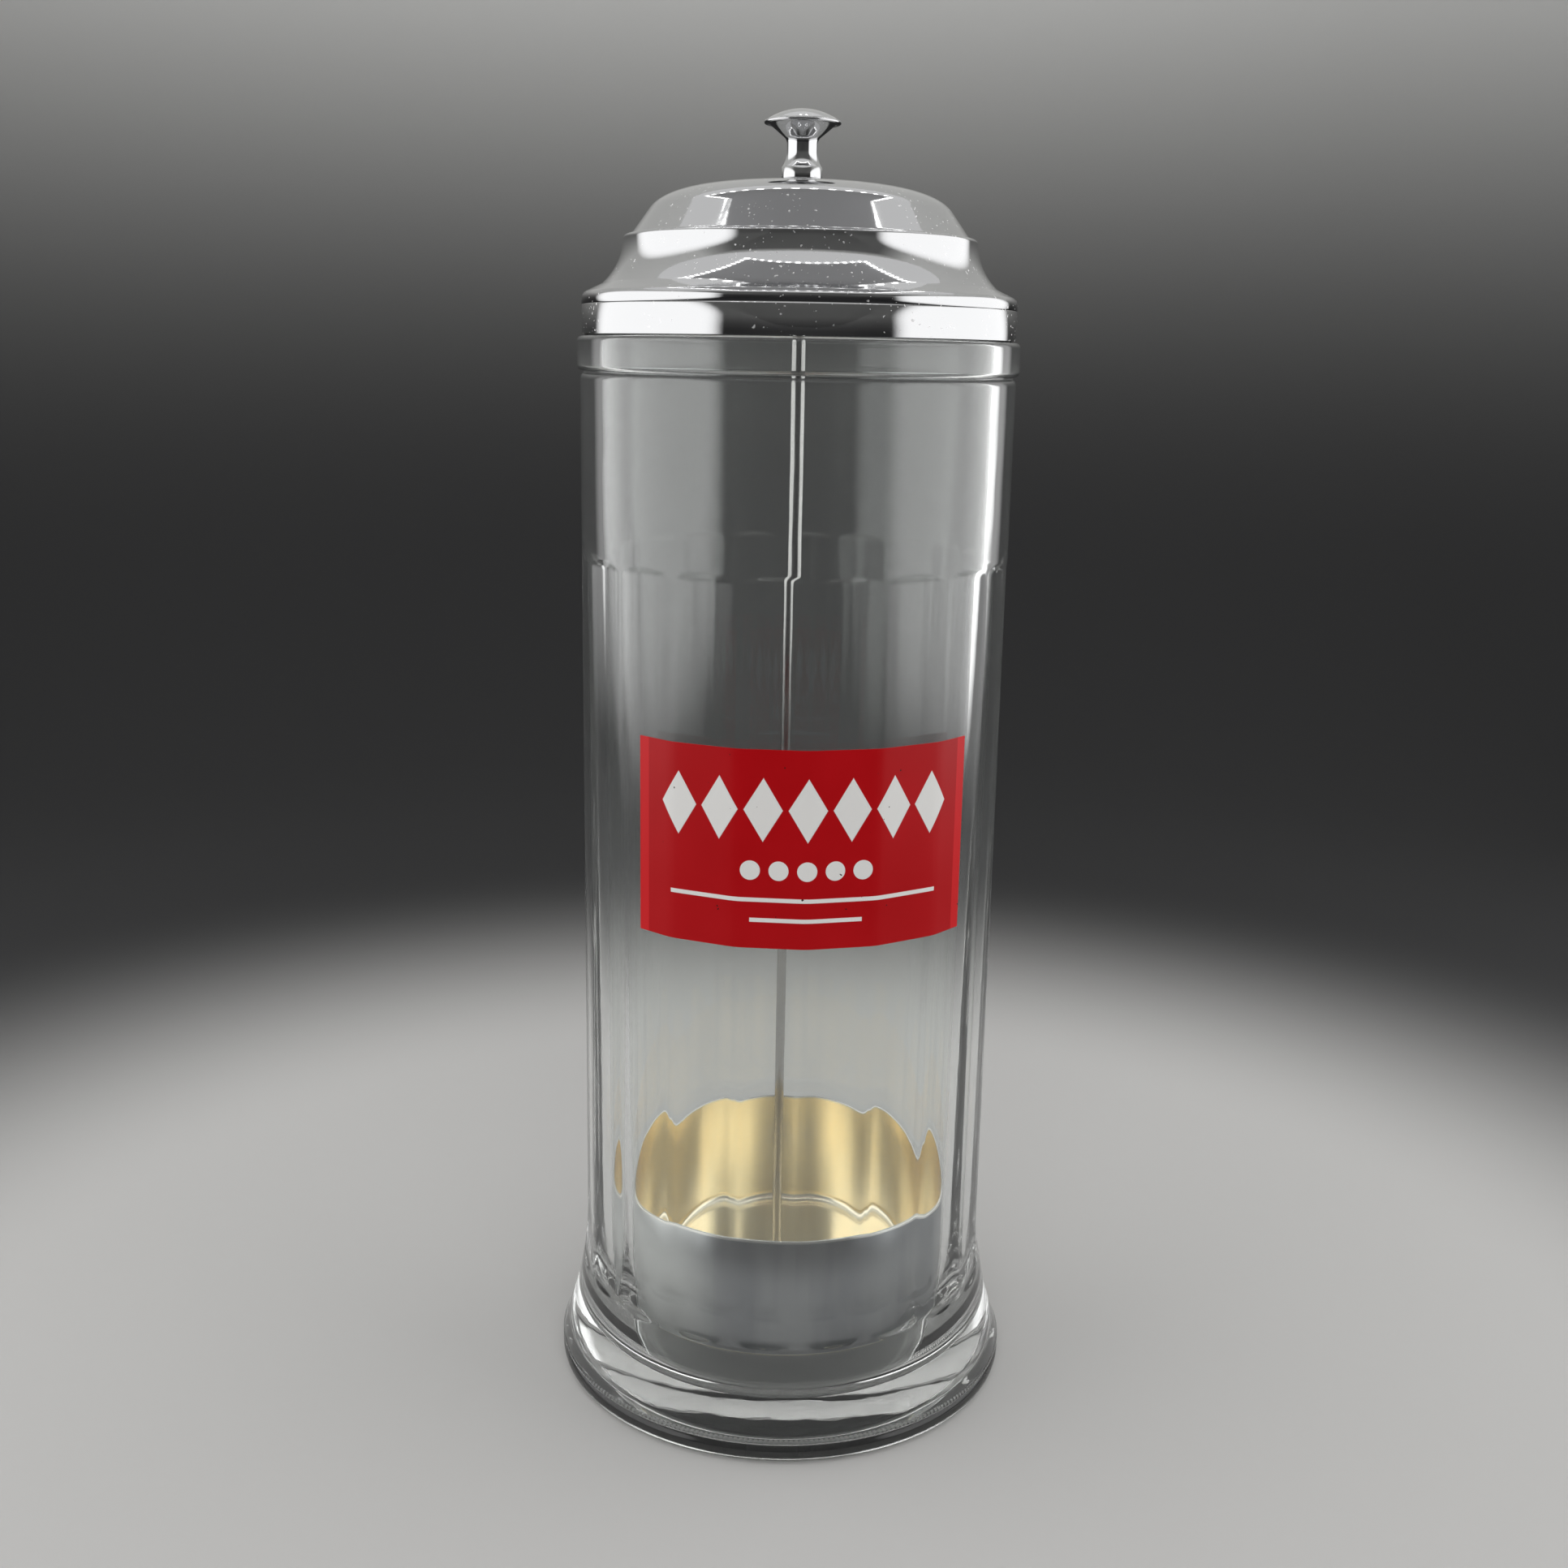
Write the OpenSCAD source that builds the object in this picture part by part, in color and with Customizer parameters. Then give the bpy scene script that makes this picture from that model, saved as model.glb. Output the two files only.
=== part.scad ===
// Soda-fountain straw dispenser: a heavy pressed-glass jar with a stamped lid. The knob, the rod
// and the cup at its lower end are one lifter, and the lid shell turns freely on its rod.
// The jar stands on z = 0 with its axis on Z, and the printed label faces -Y.

/* [Jar] */
// Height of the glass from the table to the mouth
jar_h = 250.4; // [200:1:300]
// Radius of the plain cylinder of the body
body_r = 47.85; // [40:0.05:60]
// Glass thickness at the mouth
wall_top = 4.9; // [3:0.1:7]
// Glass thickness at the level of the cup, where the bore is narrowest
wall_low = 7.4; // [6:0.1:11]
// Glass thickness of the floor
floor_t = 7.2; // [5:0.2:14]
// Radius of the corner where the bore meets the floor
floor_fillet = 6; // [3:0.5:10]
// Height below the mouth at which the bore stops widening
bore_straight = 36; // [20:1:60]

/* [Foot] */
// How far the foot stands out from the body
foot_out = 6.25; // [3:0.05:12]
// Height at which the body starts to flare out
flare_top = 39; // [25:1:60]
// Radius of the rounded ring that the jar stands on
foot_ring = 2.4; // [1.5:0.1:3.5]
// Radius of the fine ridge above the foot ring
foot_ridge = 0.8; // [0.4:0.1:1.2]
// How far the flared side starts inside the ridge
ridge_in = 0.3; // [0.1:0.05:0.6]
// Width of the flat standing ring
stand_w = 4.5; // [3:0.1:8]
// Depth of the recess under the foot
recess_h = 1.6; // [0.5:0.1:3]

/* [Panels] */
// Number of pressed panels round the body
panel_n = 20; // [12:1:24]
// Depth of each panel at its middle
panel_depth = 0.45; // [0.2:0.05:0.8]
// How far down the flare the panels go before they run out
panel_follow = 11.5; // [6:0.5:14]
// Distance from the panels' flats up to the underside of the bead
panel_drop = 41; // [20:1:80]
// Radius of the run-out at the top of each panel
runout_top = 4; // [2:0.5:12]
// Radius of the run-out at the foot of each panel
runout_low = 6; // [3:0.5:12]

/* [Bead and neck] */
// Height of the neck that stands inside the lid
neck_h = 7; // [5:0.1:15]
// How far the neck is set in from the body
neck_in = 1.45; // [0.8:0.05:2.5]
// Height of the thick bead that carries the lid
bead_h = 7.4; // [4:0.1:12]
// How far the bead stands out from the body
bead_out = 0.65; // [0.2:0.05:2]
// Radius of the bead's edges
bead_edge = 1.2; // [0.8:0.1:3]
// Radius of the body's shoulder below the bead
shoulder_r = 1.8; // [1.5:0.1:6]
// Depth of the crease between the shoulder and the bead
crease_in = 0.7; // [0.3:0.05:1.4]
// Radius of the edges of the mouth
mouth_edge = 1.1; // [0.5:0.1:1.5]

/* [Label] */
// Width of the printed panel, measured round the glass
label_w = 78; // [40:1:120]
// Height of the printed panel
label_h = 42.8; // [20:0.2:80]
// Height of the middle of the printed panel
label_mid = 140; // [90:1:160]
// Thickness of the print
label_t = 0.2; // [0.1:0.05:0.4]

/* [Lid] */
// Thickness of the sheet that the lid is stamped from
lid_wall = 0.6; // [0.4:0.05:1]
// Gap between the neck and the inside of the lid's band
lid_gap = 0.45; // [0.35:0.05:1.5]
// Gap under the lid's band, above the bead
seat_gap = 0.3; // [0.1:0.05:0.5]
// Height from the mouth to the middle of the lid's rounded edge
mouth_gap = 0.7; // [0.3:0.05:2]
// Radius of the rounded edge over the band
lip_r = 1.8; // [1.1:0.1:3]
// Width of the sloping shoulder over the band
lid_shoulder_w = 4.35; // [3:0.05:6]
// Rise of the sloping shoulder over the band
lid_shoulder_h = 3.2; // [2:0.1:4]
// Radius of the hollow curve of the lid's side
cove_r = 13.6; // [11.5:0.1:20]
// Height of the hollow curve of the lid's side
cove_h = 10.3; // [8.5:0.05:11]
// Radius of the rolled edge on top of the hollow curve
ledge_r = 0.8; // [0.7:0.05:1.1]
// Width of the ledge round the foot of the dome
ledge_w = 1.6; // [1.1:0.05:3]
// How far the dome's sloping side draws in from its foot to its crown
dome_flank = 2.7; // [1:0.1:4]
// Height of the dome over the ledge
dome_h = 11.45; // [8:0.05:20]
// Squareness of the dome's crown, where 2 is a plain ellipse
dome_power = 3; // [2:0.05:3.4]
// Angle at which the crown's curve meets the sloping side
dome_start = 20; // [10:0.2:35]
// Radius of the flat seat for the knob on top of the dome
seat_r = 7; // [5.5:0.1:8]

/* [Knob] */
// Height of the knob
knob_h = 14.6; // [12.5:0.1:20]
// Radius of the knob's cap
knob_r = 8.3; // [7:0.1:14]
// Rise of the rounded top of the cap
knob_crown = 2.4; // [1:0.1:3]
// Thickness of the cap's rim
knob_rim = 0.8; // [0.6:0.1:1.5]
// Metal round the rod at the knob's waist
waist_wall = 1.75; // [1:0.05:2.1]
// Metal round the rod at the knob's collar
collar_wall = 2.8; // [2.4:0.05:4]
// Height of the knob's collar
collar_h = 2.8; // [1.5:0.1:3]
// Rounding of the collar's lower edge
collar_edge = 0.5; // [0.2:0.05:0.8]
// Bevel of the collar's upper edge
collar_bevel = 0.15; // [0.05:0.05:0.4]
// Radius of the hollow curve between the collar and the waist
knob_cove = 6.1; // [3:0.1:7]
// Height of the cone under the cap
knob_cone_h = 3.9; // [3:0.1:5]
// Radius of the throat between the waist and the cone
knob_throat = 1.7; // [0.5:0.1:2.2]
// Width of the flat ring under the cap, outside the cone
knob_lip = 1.2; // [0.6:0.1:1.6]
// Depth of the rod's socket in the knob
socket_depth = 9.5; // [6:0.1:10]
// Space left over the rod's end in its socket, and in the acorn nut
rod_space = 0.4; // [0.2:0.1:1]

/* [Rod and fasteners] */
// Diameter of the lift rod
rod_d = 3.175; // [2.5:0.025:4.5]
// Clearance between the rod and what is fixed on it
rod_fit = 0.04; // [0.01:0.01:0.1]
// Clearance between the rod and the lid that turns on it
turn_fit = 0.08; // [0.03:0.01:0.1]
// End play of the lid between its two washers, on each side
end_play = 0.15; // [0.1:0.05:0.3]
// Metal round the rod at a nut's flats
nut_wall = 2.4; // [1.6:0.1:3]
// Thickness of a hexagon nut
nut_h = 2.6; // [1.5:0.1:4]
// Width of a plain washer's ring
washer_w = 4.2; // [2.9:0.1:5]
// Thickness of a plain washer
washer_t = 0.8; // [0.5:0.1:1.5]
// Width of the fibre washer's ring under the knob
fibre_w = 2.2; // [1.6:0.1:2.4]
// Thickness of the fibre washer under the knob
fibre_t = 0.4; // [0.3:0.1:1]

/* [Cup] */
// Height of the cup that carries the straws
cup_h = 30.2; // [15:0.1:60]
// Height at which the cup hangs over the jar's floor
cup_lift = 10.6; // [8:0.1:20]
// Gap between the cup and the glass
cup_gap = 1; // [0.5:0.1:3]
// Thickness of the cup's sheet
cup_wall = 0.7; // [0.4:0.05:1]
// Radius of the cup's bottom corner
cup_corner = 3.2; // [2:0.1:8]
// Depth of the acorn nut's dome below its hexagon
acorn_h = 3.2; // [2:0.1:4]
// How far the acorn nut's dome draws in from its flats
acorn_step = 0.3; // [0.1:0.1:0.6]
// Depth to which the rod reaches into the acorn nut's dome
rod_reach = 1.1; // [0.4:0.1:1.4]

/* [Hidden] */
$fn = 96;
// Steps in each arc of a profile
arc_n = 10;
// Steps in the dome of the lid
dome_n = 18;
// Steps in the part of a panel that follows the flare
follow_n = 3;
// Steps in a panel's run-out
runout_n = 8;
// A tool reaches this far past the surface that it cuts
past = 1;
// Two curves that would touch are kept this far apart
mend = 0.02;
rod_r = rod_d / 2;

// Radii and heights of the jar
bore_top_r = body_r - wall_top;
bore_low_r = body_r - wall_low;
bore_low_z = floor_t + floor_fillet;
bore_top_z = jar_h - bore_straight;
foot_r = body_r + foot_out;
neck_r = body_r - neck_in;
bead_r = body_r + bead_out;
bead_top = jar_h - neck_h;
bead_low = bead_top - bead_h;
apothem = body_r - panel_depth;
panel_top = bead_low - panel_drop;
panel_low = flare_top - panel_follow;
ridge_z = 2 * foot_ring + 0.6 * foot_ridge;
flare_z = ridge_z + foot_ridge;
flare_r = foot_r - ridge_in;
// The flare is an arc that leaves the body upright and ends on the ridge
flare_dx = flare_r - body_r;
flare_dz = flare_top - flare_z;
flare_arc = (flare_dx * flare_dx + flare_dz * flare_dz) / (2 * flare_dx);
flare_sweep = asin(flare_dz / flare_arc);

// Radii and heights of the lid
skirt_r = neck_r + lid_gap + lid_wall;
hem_z = bead_top + seat_gap;
lip_z = jar_h + mouth_gap;
cove_low_r = skirt_r - lid_shoulder_w;
cove_low_z = lip_z + lid_shoulder_h;
cove_mid_z = cove_low_z + cove_h;
cove_low_a = asin(cove_h / cove_r);
cove_stop_a = asin((ledge_r + mend) / cove_r);
cove_mid_r = cove_low_r + cove_r * cos(cove_low_a);
cove_top_r = cove_mid_r - cove_r;
ledge_z = cove_mid_z - ledge_r;
dome_foot_r = cove_top_r - ledge_w;
dome_r = dome_foot_r - dome_flank;
// The dome stops where it meets the knob's flat seat
dome_stop = acos(pow(seat_r / dome_r, dome_power / 2));
seat_z = cove_mid_z + dome_h * pow(sin(dome_stop), 2 / dome_power);

// Heights of what the rod carries
fibre_z = seat_z + end_play;
knob_z = fibre_z + fibre_t;
lid_washer_z = seat_z - lid_wall - end_play - washer_t;
lid_nut_z = lid_washer_z - nut_h;
cup_z = floor_t + cup_lift;
cup_r = bore_r(cup_z) - cup_gap;
cup_washer_z = cup_z + cup_wall;
cup_nut_z = cup_washer_z + washer_t;
acorn_z = cup_z - nut_h;
rod_low = acorn_z - rod_reach;
rod_high = knob_z + socket_depth - rod_space;

// Radius of the bore at height z: it widens upwards, so that the plunger leaves the glass
function bore_r(z) = bore_low_r + (bore_top_r - bore_low_r)
    * (min(z, bore_top_z) - bore_low_z) / (bore_top_z - bore_low_z);

// Points of an arc of radius r round (x, z), from angle a to angle b
function arc(x, z, r, a, b, n = arc_n) =
    [for (i = [0:n]) [x + r * cos(a + (b - a) * i / n), z + r * sin(a + (b - a) * i / n)]];

// The path moved sideways by t, to its left
function inset(path, t) = [for (i = [0:len(path) - 1])
    let (d = path[min(i + 1, len(path) - 1)] - path[max(i - 1, 0)], m = norm(d))
    path[i] + t * [-d[1], d[0]] / m];

function backwards(path) = [for (i = [len(path) - 1:-1:0]) path[i]];

// Half width of a panel's flat, where it runs out into the round of the body
function flat_half(t) = sqrt(pow(body_r + t, 2) - pow(apothem + t, 2)) + mend;

// Cross-section of the panelled body, grown by t
module body_section(t) {
    difference() {
        circle(body_r + t);
        for (k = [0:panel_n - 1])
            rotate(-90 + (k + 0.5) * 360 / panel_n)
                translate([apothem + t, -flat_half(t)])
                    square([panel_depth + past, 2 * flat_half(t)]);
    }
}

// A plain cylinder with a hole through it
module ring(outer, hole, h) {
    difference() {
        cylinder(r = outer, h = h);
        translate([0, 0, -past]) cylinder(r = hole, h = h + 2 * past);
    }
}

// A hexagon nut, with wall metal left at its flats
module hex(h) {
    cylinder(r = (rod_r + nut_wall) / cos(30), h = h, $fn = 6);
}

// Outside and bore of the jar, before the panels are pressed in
module jar_profile() {
    polygon(concat(
        [[0, recess_h],
         [foot_r - foot_ring - stand_w - 2 * recess_h, recess_h],
         [foot_r - foot_ring - stand_w, 0]],
        arc(foot_r - foot_ring, foot_ring, foot_ring, -90, 60),
        arc(foot_r - foot_ridge, ridge_z, foot_ridge, -50, 50),
        arc(body_r + flare_arc, flare_top, flare_arc, 180 + flare_sweep, 180),
        arc(body_r - shoulder_r, bead_low - shoulder_r, shoulder_r, 0, acos(1 - crease_in / shoulder_r)),
        [[body_r - crease_in, bead_low]],
        arc(bead_r - bead_edge, bead_low + bead_edge, bead_edge, -75, 0),
        arc(bead_r - bead_edge, bead_top - bead_edge, bead_edge, 0, 80),
        [[neck_r, bead_top]],
        arc(neck_r - mouth_edge, jar_h - mouth_edge, mouth_edge, 0, 90),
        arc(bore_top_r + mouth_edge, jar_h - mouth_edge, mouth_edge, 90, 180),
        [[bore_top_r, bore_top_z]],
        arc(bore_low_r - floor_fillet, bore_low_z, floor_fillet, 0, -90),
        [[0, floor_t]]));
}

// What one panel takes away: a flat that follows the flare and runs out in an arc above and below
module panel_cut() {
    follow_r = flare_arc + panel_depth;
    start_a = 180 + asin(3 * past / follow_r);
    follow_a = 180 + asin(panel_follow / follow_r);
    middle_r = body_r + flare_arc;
    low_r = follow_r - runout_low;
    rotate([90, 0, 0])
        linear_extrude(2 * flat_half(0) + past, center = true)
            polygon(concat(
                arc(apothem + runout_top, panel_top, runout_top, 90, 180, runout_n),
                [[apothem, flare_top - past]],
                arc(middle_r, flare_top, follow_r, start_a, follow_a, follow_n),
                arc(middle_r + low_r * cos(follow_a), flare_top + low_r * sin(follow_a),
                    runout_low, follow_a, 270, runout_n)));
}

module jar() {
    color([0.86, 0.93, 0.92, 0.35])
        difference() {
            rotate_extrude() jar_profile();
            for (k = [0:panel_n - 1])
                rotate([0, 0, -90 + (k + 0.5) * 360 / panel_n]) panel_cut();
        }
}

module label_print() {
    half = label_w / (2 * body_r) * 180 / PI;
    reach = 2 * body_r;
    color([0.75, 0.06, 0.12])
        translate([0, 0, label_mid - label_h / 2])
            linear_extrude(label_h)
                intersection() {
                    difference() {
                        body_section(label_t);
                        body_section(0);
                    }
                    polygon([[0, 0],
                             [-reach * sin(half), -reach * cos(half)],
                             [0, -reach / cos(half / 2)],
                             [reach * sin(half), -reach * cos(half)]]);
                }
}

// Outside of the lid from the hem of its band up to the knob's seat
lid_path = concat(
    [[skirt_r, hem_z]],
    arc(skirt_r - lip_r, lip_z, lip_r, 0, 65),
    arc(cove_mid_r, cove_mid_z, cove_r, 180 + cove_low_a, 180 + cove_stop_a),
    arc(cove_top_r - ledge_r, ledge_z, ledge_r, 0, 90),
    [[dome_foot_r, cove_mid_z + mend]],
    [for (i = [0:dome_n])
        let (a = dome_start + (dome_stop - dome_start) * i / dome_n)
        [dome_r * pow(cos(a), 2 / dome_power), cove_mid_z + dome_h * pow(sin(a), 2 / dome_power)]],
    [[rod_r + turn_fit, seat_z]]);

module lid_shell() {
    color([0.80, 0.82, 0.84])
        rotate_extrude() polygon(concat(lid_path, backwards(inset(lid_path, lid_wall))));
}

module knob() {
    collar_r = rod_r + collar_wall;
    waist_r = rod_r + waist_wall;
    rim_r = knob_r - knob_rim / 2;
    cap_z = knob_h - knob_crown - knob_rim;
    cove_a = acos(1 - (collar_r - collar_bevel - waist_r) / knob_cove);
    // The throat turns from the upright waist until it is tangent to the cone
    throat_r = waist_r + knob_throat;
    cone_r = knob_r - knob_lip;
    throat_a = atan2(knob_cone_h, cone_r - throat_r)
        + acos(knob_throat / norm([cone_r - throat_r, knob_cone_h]));
    crown_r = (rim_r * rim_r + knob_crown * knob_crown) / (2 * knob_crown);
    crown_a = asin(rim_r / crown_r);
    color([0.86, 0.87, 0.88])
        translate([0, 0, knob_z])
            difference() {
                rotate_extrude() polygon(concat(
                    [[0, 0]],
                    arc(collar_r - collar_edge, collar_edge, collar_edge, -90, 0),
                    [[collar_r, collar_h - collar_bevel], [collar_r - collar_bevel, collar_h]],
                    arc(waist_r + knob_cove, collar_h + knob_cove * sin(cove_a), knob_cove,
                        180 + cove_a * 0.95, 180),
                    arc(throat_r, cap_z - knob_cone_h, knob_throat, 180, throat_a),
                    [[cone_r, cap_z]],
                    arc(rim_r, cap_z + knob_rim / 2, knob_rim / 2, -90, 60),
                    arc(0, knob_h - crown_r, crown_r, 90 - crown_a, 90)));
                translate([0, 0, -past]) cylinder(r = rod_r + rod_fit, h = socket_depth + past);
            }
}

module knob_washer() {
    color([0.16, 0.15, 0.14])
        translate([0, 0, fibre_z]) ring(rod_r + fibre_w, rod_r + rod_fit, fibre_t);
}

module lift_rod() {
    color([0.78, 0.79, 0.80])
        translate([0, 0, rod_low]) cylinder(r = rod_r, h = rod_high - rod_low);
}

module lid_washer() {
    color([0.72, 0.73, 0.74])
        translate([0, 0, lid_washer_z]) ring(rod_r + washer_w, rod_r + rod_fit, washer_t);
}

module plain_nut() {
    difference() {
        hex(nut_h);
        translate([0, 0, -past]) cylinder(r = rod_r + rod_fit, h = nut_h + 2 * past);
    }
}

module lid_nut() {
    color([0.70, 0.71, 0.72])
        translate([0, 0, lid_nut_z]) plain_nut();
}

// Outside of the cup from its middle up to the rim
cup_path = concat(
    [[rod_r + rod_fit, cup_z]],
    arc(cup_r - cup_corner, cup_z + cup_corner, cup_corner, -90, 0),
    [[cup_r, cup_z + cup_h]]);

module straw_cup() {
    color([0.66, 0.68, 0.70])
        rotate_extrude() polygon(concat(cup_path, backwards(inset(cup_path, cup_wall))));
}

module cup_washer() {
    color([0.72, 0.73, 0.74])
        translate([0, 0, cup_washer_z]) ring(rod_r + washer_w, rod_r + rod_fit, washer_t);
}

module cup_nut() {
    color([0.70, 0.71, 0.72])
        translate([0, 0, cup_nut_z]) plain_nut();
}

module acorn_nut() {
    dome = rod_r + nut_wall - acorn_step;
    color([0.70, 0.71, 0.72])
        translate([0, 0, acorn_z])
            difference() {
                union() {
                    hex(nut_h);
                    intersection() {
                        translate([0, 0, dome - acorn_h]) sphere(dome);
                        translate([0, 0, -acorn_h]) cylinder(r = dome, h = acorn_h + past);
                    }
                }
                translate([0, 0, rod_low - acorn_z - rod_space])
                    cylinder(r = rod_r + rod_fit, h = nut_h + acorn_h + past);
            }
}

jar();
label_print();
lid_shell();
knob();
knob_washer();
lift_rod();
lid_washer();
lid_nut();
straw_cup();
cup_washer();
cup_nut();
acorn_nut();
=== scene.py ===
"""Glass straw dispenser: a pressed jar, and a chrome lid whose knob, rod and cup lift together.

Lengths are written in millimetres and turned into metres as the meshes are made. The jar stands
on z = 0 with its axis on Z, and its label faces -Y, as in the part's own frame.
"""

import math

import bpy
import numpy as np
from mathutils import Matrix, Vector


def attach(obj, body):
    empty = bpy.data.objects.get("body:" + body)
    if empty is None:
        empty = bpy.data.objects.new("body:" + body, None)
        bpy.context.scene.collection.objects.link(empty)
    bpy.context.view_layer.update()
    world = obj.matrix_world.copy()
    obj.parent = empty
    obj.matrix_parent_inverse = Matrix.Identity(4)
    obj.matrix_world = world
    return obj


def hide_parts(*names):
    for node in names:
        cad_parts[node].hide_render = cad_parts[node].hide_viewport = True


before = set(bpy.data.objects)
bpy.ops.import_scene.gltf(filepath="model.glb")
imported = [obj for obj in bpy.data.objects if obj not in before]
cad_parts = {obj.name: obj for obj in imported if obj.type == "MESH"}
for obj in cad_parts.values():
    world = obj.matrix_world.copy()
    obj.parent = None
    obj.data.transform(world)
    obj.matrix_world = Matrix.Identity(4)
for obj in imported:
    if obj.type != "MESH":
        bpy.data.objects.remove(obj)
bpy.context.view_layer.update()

MM = 0.001

# Steps round the axis
LARGE_STEPS = 256
SMALL_STEPS = 96
ROD_STEPS = 48

# Jar
JAR_H = 250.4
BODY_R = 47.85
WALL_TOP = 4.9
WALL_LOW = 7.4
FLOOR_T = 7.2
FLOOR_FILLET = 6.0
BORE_STRAIGHT = 36.0
FOOT_OUT = 6.25
FLARE_TOP = 39.0
FOOT_RING = 2.4
FOOT_RIDGE = 0.8
RIDGE_IN = 0.3
STAND_W = 4.5
RECESS_H = 1.6
RECESS_EDGE = 1.0
NECK_H = 7.0
NECK_IN = 1.45
NECK_FILLET = 0.5
BEAD_H = 7.4
BEAD_OUT = 0.65
BEAD_EDGE = 1.2
SHOULDER_R = 1.8
CREASE_IN = 0.7
MOUTH_EDGE = 1.1

# Pressed panels round the jar
PANELS = 20
PANEL_DEPTH = 0.45
PANEL_FOLLOW = 11.5
PANEL_DROP = 41.0
RUNOUT_TOP = 4.0
RUNOUT_LOW = 6.0
ARRIS_SOFT = 0.11
SIDE_SPARE = 0.5
SIDE_FADE = 0.6

# Printed label
LABEL_W = 78.0
LABEL_H = 42.8
LABEL_MID = 140.0
LABEL_T = 0.2
LABEL_BACK = 0.03
SIDE_STRIP = 2.6

# White marks on the label, from its middle: a row of diamonds, a row of discs, and two lines
MARK_SOFT = 0.12
DIAMOND_PITCH = 9.4
DIAMOND_UP = 8.6
DIAMOND_HALF_W = 4.1
DIAMOND_HALF_H = 6.8
DIAMOND_ROW = 32.6
DISC_PITCH = 6.0
DISC_UP = -4.4
DISC_R = 2.1
DISC_ROW = 15.0
LINES_UP_AND_REACH = ((-10.8, 30.0), (-15.2, 12.0))
LINE_W = 0.9

# Lid
LID_WALL = 0.6
LID_GAP = 0.45
SEAT_GAP = 0.3
MOUTH_GAP = 0.7
LIP_R = 1.8
LID_SHOULDER_W = 4.35
LID_SHOULDER_H = 3.2
COVE_R = 13.6
COVE_H = 10.3
LEDGE_R = 0.8
LEDGE_W = 1.6
FOOT_FILLET = 0.7
DOME_FLANK = 2.7
DOME_H = 11.45
DOME_POWER = 3.0
DOME_START = math.radians(20)
SEAT_R = 7.0
BAND_LINE_Z = 249.9
BAND_LINE_DEPTH = 0.12
BAND_LINE_HALF = 0.18
LID_SHADE = 0.58

# Knob
KNOB_H = 14.6
KNOB_R = 8.3
KNOB_CROWN = 2.4
KNOB_RIM = 0.8
WAIST_WALL = 1.75
COLLAR_WALL = 2.8
COLLAR_H = 2.8
COLLAR_EDGE = 0.5
COLLAR_BEVEL = 0.15
KNOB_COVE = 6.1
KNOB_CONE_H = 3.9
KNOB_THROAT = 1.7
KNOB_LIP = 1.2
SOCKET_DEPTH = 9.5
KNOB_SHADE = 0.62

# Rod, cup and fasteners
ROD_R = 3.175 / 2
ROD_FIT = 0.04
ROD_REACH = 1.1
ROD_SPACE = 0.4
ROD_CHAMFER = 0.3
TURN_FIT = 0.08
END_PLAY = 0.15
NUT_WALL = 2.4
NUT_H = 2.6
NUT_FACE_IN = 0.15
NUT_CHAMFER = 0.35
WASHER_W = 4.2
WASHER_T = 0.8
FIBRE_W = 2.2
FIBRE_T = 0.4
ACORN_H = 3.2
ACORN_STEP = 0.3
THREAD_PITCH = 0.7
THREAD_DEPTH = 0.12
THREAD_PAST = 1.5
THREAD_STOP = 2.0
CUP_H = 30.2
CUP_LIFT = 10.6
CUP_GAP = 1.0
CUP_WALL = 0.7
CUP_CORNER = 3.2
CUP_LIP = 0.1
# Where the painted reflection on the cup's outside begins towards -X, and the width of its soft
# edge
REFLECTION_X = -21.0
REFLECTION_SOFT = 20.0

# Camera, found from the foot, body, bead, label and cup in the photograph
IMAGE_W = 1932
FOCAL_PX = 2179.0
SENSOR_MM = 36.0
CAMERA_AWAY = 400.85
CAMERA_HIGH = 239.5
CAMERA_PITCH = math.radians(13.56)
CAMERA_ROLL = math.radians(1.02)
CAMERA_YAW = math.radians(-0.214)
LABEL_TURN = math.radians(4.6)

# Studio paper's painted light: a pale pool out to one radius, painted shade past the next, lighter
# with the height squared
PAPER_PALE = 200.0
PAPER_DARK = 460.0
PAPER_RISE = 2.4e-6
BACK_MIDDLE_Y = -450.0
BACK_SOFT = 500.0
FRONT_SHARE = 0.2
RIM_MIDDLE_Z = 1200.0
RIM_SOFT = 200.0

# Side panels of light
PANEL_X = 500.0
PANEL_Y = (-560.0, 480.0)
PANEL_Z = (10.0, 610.0)
PANEL_SOFT = 0.85
PANEL_RADIANCE = 1.6

# Floor, overhead strips, card and front fill, in metres
FLOOR_FLAT = 0.6
FLOOR_BEND = 0.5
FLOOR_HOLE = 0.02
WALL_TOP_Z = 1.3
STRIP_OUT = 0.2
STRIP_Z = 0.6
STRIP_SIZE = (0.4, 0.012)
STRIP_RADIANCE = 12.0
STRIP_DOTS = 14
CARD_Z = 0.62
FILL_PLACE = (0, -1.0, 0.55)
FILL_TARGET = (0, 0, 0.15)
FILL_SIZE = (1.0, 0.8)
FILL_RADIANCE = 2.5
SKY_STRENGTH = 0.8


# Profiles: arrays of (radius, height) in millimetres

def arc(x, z, r, start, stop, n=12):
    """Points of a circular arc of radius r round (x, z), from angle start to stop in degrees."""
    a = np.radians(np.linspace(start, stop, n))
    return np.stack([x + r * np.cos(a), z + r * np.sin(a)], -1)


def points(*pairs):
    """A few separate points as an array."""
    return np.array(pairs, float)


def inset(path, t):
    """The path moved to its left by t, each point along the normal of its neighbours' chord."""
    ahead = np.vstack([path[1:], path[-1:]])
    behind = np.vstack([path[:1], path[:-1]])
    d = ahead - behind
    normal = np.stack([-d[:, 1], d[:, 0]], -1) / np.linalg.norm(d, axis=1, keepdims=True)
    return path + t * normal


def bore_radius(z):
    """The bore widens in a straight line from the floor's corner up to the straight part."""
    low, high = FLOOR_T + FLOOR_FILLET, JAR_H - BORE_STRAIGHT
    share = (np.minimum(z, high) - low) / (high - low)
    return BODY_R - WALL_LOW + (WALL_LOW - WALL_TOP) * share


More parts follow.
